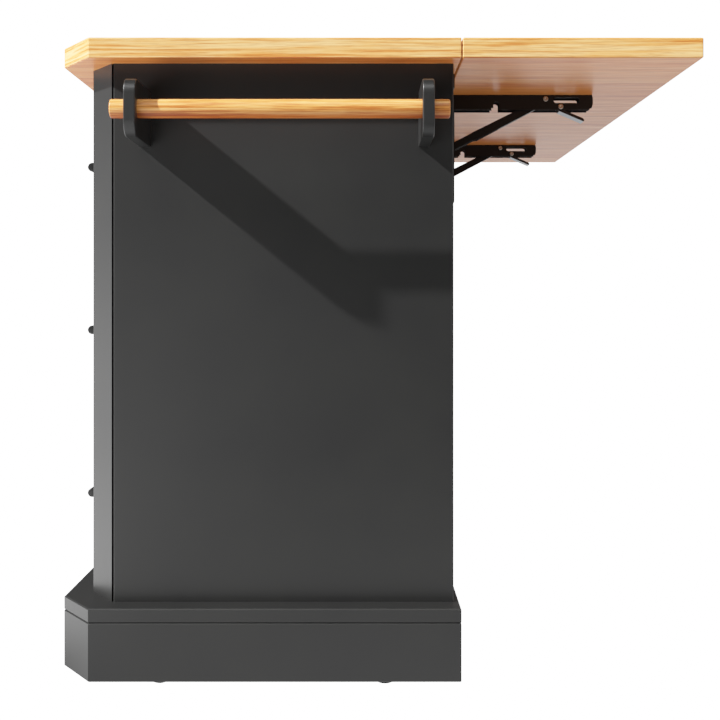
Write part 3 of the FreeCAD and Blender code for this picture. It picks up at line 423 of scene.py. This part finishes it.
# %% Cross recess screws
def screw(tip, way, length):
    """Head height = 1.6 mm * dome(r) - 1.1 mm * ramp(0.55 mm - the smaller of |x| and |y|).

    The recess ends 2.3 mm from the axis.
    """
    a, u, v = basis(way)
    tip = np.array(tip)
    head_radius, high, shank, n = 0.0042, 0.0016, 0.0020, 72
    recess, arm_half, arm_reach, side_wall, end_wall = 0.0011, 0.00055, 0.0023, 0.00018, 0.0003
    centre_radius, point_radius, point_length = 0.0002, 0.0003, 0.003
    r = np.concatenate([np.linspace(centre_radius, 0.0036, 22), np.linspace(0.0037, head_radius, 6)])
    turn = np.linspace(0, 2 * np.pi, n, endpoint=False)
    x, y = r[:, None] * np.cos(turn), r[:, None] * np.sin(turn)
    dome = high * (1 - 0.45 * (r[:, None] / head_radius) ** 6)
    across = np.clip((arm_half - np.minimum(abs(x), abs(y))) / side_wall, 0, 1)
    inside = np.clip((arm_reach - r[:, None]) / end_wall, 0, 1)
    lift = dome - recess * across * inside
    head_at = tip + a * length
    top = (head_at + lift[..., None] * a + x[..., None] * u + y[..., None] * v).reshape(-1, 3)
    ring = np.cos(turn)[:, None] * u + np.sin(turn)[:, None] * v
    rings = ((head_at, head_radius), (head_at, shank), (tip + a * point_length, shank), (tip, point_radius))
    below = [middle + radius * ring for middle, radius in rings]
    points = np.concatenate([top, *below, [head_at + a * (high - recess)], [tip]])
    rows = len(r) + len(rings)
    i, j = np.arange(rows - 1)[:, None], np.arange(n)[None]
    beside = (j + 1) % n
    quads = np.stack([i * n + j, (i + 1) * n + j, (i + 1) * n + beside, i * n + beside], -1).reshape(-1, 4)
    k = np.arange(n)
    after, last_row = (k + 1) % n, (rows - 1) * n
    first = np.stack([np.full(n, rows * n), k, after], -1)
    last = np.stack([np.full(n, rows * n + 1), last_row + after, last_row + k], -1)
    return points, [quads, first, last]


middle_x, bracket_out = -0.04375, 0.331      # the two brackets stand this far to either side of the middle
bracket_x = (middle_x + bracket_out, middle_x - bracket_out)
back_y, under_z = 0.108, 0.8855              # back of the cabinet, underside of the leaf
leaf_screws = [screw((x, back_y + out, under_z + 0.0165), (0, 0, -1), 0.018)
               for x in bracket_x for out in (0.030, 0.075, 0.238)]
wall_screws = [screw((x, back_y - 0.0125, under_z - down), (0, 1, 0), 0.014)
               for x in bracket_x for down in (0.040, 0.112, 0.160)]
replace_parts(piece("leaf_screws_cross_head", leaf_screws, zinc, "leaf"), "bracket_leaf_screws")
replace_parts(piece("wall_screws_cross_head", wall_screws, zinc, "cabinet"), "bracket_wall_screws")

# %% [markdown]
# The studio is a white room with one distant lamp high up on the side of the camera, which throws the long
# slanted shadows of the towel rail. A glossy dark cabinet shows the room it stands in, so the room is lit
# in parts: a bright floor in front of the drawers, a patch of light before the end, a softer floor under
# the leaf, and dim air above the horizon. One lamp box high over the camera lights rounded noses and
# rivets. That is why the dark panel is nearly black at the top and grey at the foot. The parts were first
# solved so that their sum follows the picture, then changed, so they are a way to get this picture
# and not a measured room. The camera itself sees plain white all round.

# %% Light maps
room = {"front_wall": 0.6, "far_wall": 0.4, "leaf_side": 0.8, "dim": 0.03, "lamp_box": 4.5, "white": 3.0,
        "end_floor": 1.1, "front_floor": 2.4, "front_far": 1.5, "far_floor": 0.8, "leaf_floor": 0.7}
scene = bpy.context.scene


def light_map(tree, spot, patches):
    """Sum over patches of a product of lines; a line is low + (high - low) * share of the way, level outside.

    A line is (coordinate, start, stop, low, high). The camera's own rays get the plain white instead.
    """
    total = None
    for patch in patches:
        strength = None
        for axis, start, stop, low, high in patch:
            ends = {1: start, 2: stop, 3: low, 4: high}
            line = add(tree, "MapRange", ends, {0: spot.outputs[axis]}).outputs[0]
            strength = line if strength is None else add(
                tree, "Math", links={0: strength, 1: line}, operation="MULTIPLY").outputs[0]
        total = strength if total is None else add(tree, "Math", links={0: total, 1: strength}).outputs[0]
    seen = add(tree, "LightPath").outputs["Is Camera Ray"]
    print(len(patches), "patches of light")
    return add(tree, "Mix", {3: room["white"]}, {0: seen, 2: total}, data_type="FLOAT").outputs[0]


# %% Walls of the room
world = bpy.data.worlds.new("white_room")
scene.world = world
world.use_nodes = True
tree = world.node_tree
background = tree.nodes["Background"]
background.inputs["Color"].default_value = (1, 1, 1, 1)
way = add(tree, "SeparateXYZ", links={0: add(tree, "TexCoord").outputs["Generated"]})
fading = ("Z", 0.05, 0.3, 1.0, room["dim"])
walls = light_map(tree, way, [
    [("Y", -0.25, -0.85, 0.0, room["front_wall"]), fading],
    [("X", -0.2, -0.8, room["dim"], room["far_wall"]), fading],
    [("Y", 0.25, 0.85, 0.0, room["leaf_side"])],
    [("Z", 0.66, 0.72, 0.0, room["lamp_box"]), ("Z", 0.86, 0.92, 1.0, 0.0), ("X", 0.3, 0.4, 0.0, 1.0)],
])
tree.links.new(walls, background.inputs["Strength"])

# %% Floor
reach = 30.0
floor_corners = [(-reach, -reach, 0), (reach, -reach, 0), (reach, reach, 0), (-reach, reach, 0)]
floor_mesh = bpy.data.meshes.new("floor")
floor_mesh.from_pydata(floor_corners, [], [(0, 1, 2, 3)])
floor = bpy.data.objects.new("floor", floor_mesh)
scene.collection.objects.link(floor)
floor_finish = bpy.data.materials.new("pale_floor")
floor_finish.use_nodes = True
tree = floor_finish.node_tree
tree.nodes.remove(tree.nodes["Principled BSDF"])
spot = add(tree, "SeparateXYZ", links={0: add(tree, "TexCoord").outputs["Object"]})
short_of_camera = ("X", 1.2, 2.5, 1.0, 0.0)
floor_light = light_map(tree, spot, [
    [("X", 0.45, 0.6, 0.0, room["end_floor"]), short_of_camera],
    [("Y", -0.45, -0.8, 0.0, 1.0), ("Y", -1.5, -3.5, room["front_floor"], 0.0), ("X", -2.5, -1.0, 0.0, 1.0)],
    [("Y", -1.5, -3.5, 0.0, room["front_far"]), short_of_camera],
    [("X", -2.5, -4.0, 0.0, room["far_floor"])],
    [("Y", 0.1, 0.3, 0.0, room["leaf_floor"]), ("X", 0.45, 0.6, 1.0, 0.0)],
])
shine = add(tree, "Emission", links={"Strength": floor_light})
tree.links.new(shine.outputs[0], tree.nodes["Material Output"].inputs["Surface"])
floor_mesh.materials.append(floor_finish)

# %% [markdown]
# The lamp is so far away that its rays run side by side, and its disc of 1.5 degrees gives the shadows
# their narrow soft edge. The camera stands 2.4 m from the middle of the island and looks level at its end.

# %% Lamp and camera
lamp_data = bpy.data.lights.new("key_lamp", "SUN")
lamp_data.energy = 11.2                       # watts on a square metre that faces it
lamp_data.angle = math.radians(1.5)
lamp = bpy.data.objects.new("key_lamp", lamp_data)
scene.collection.objects.link(lamp)
lamp.rotation_euler = Vector((-1.0, 2.57, -2.08)).to_track_quat("-Z", "Y").to_euler()

camera_data = bpy.data.cameras.new("camera")
camera_data.lens = 63.48
camera_data.sensor_width = 36.0
camera_data.shift_x = 0.0018
camera_data.shift_y = -0.0819
camera = bpy.data.objects.new("camera", camera_data)
camera.location = (2.366, -0.0258, 0.5504)
camera.rotation_euler = (math.radians(90), 0.0, math.radians(90))
scene.collection.objects.link(camera)
scene.camera = camera

# %% [markdown]
# A print of a bright room keeps its whites by bending the brightest tones. The tone curve here is 1 -
# exp(-light), scaled so that the white of the room is just white, set as a list of points on the film's own
# curve.

# %% Tone of the print
film = scene.view_settings
film.view_transform = "Standard"
film.use_curve_mapping = True
tone = film.curve_mapping
tone.white_level = (room["white"],) * 3
exposures = np.array([0.02, 0.05, 0.1, 0.15, 0.2, 0.3, 0.4, 0.5, 0.65, 0.8])
shares = (1 - np.exp(-room["white"] * exposures)) / (1 - np.exp(-room["white"]))
for exposure, share in zip(exposures, shares):
    tone.curves[3].points.new(float(exposure), float(share))
tone.update()
print("a tenth of white prints as", round(float(np.interp(0.1, exposures, shares)), 3))
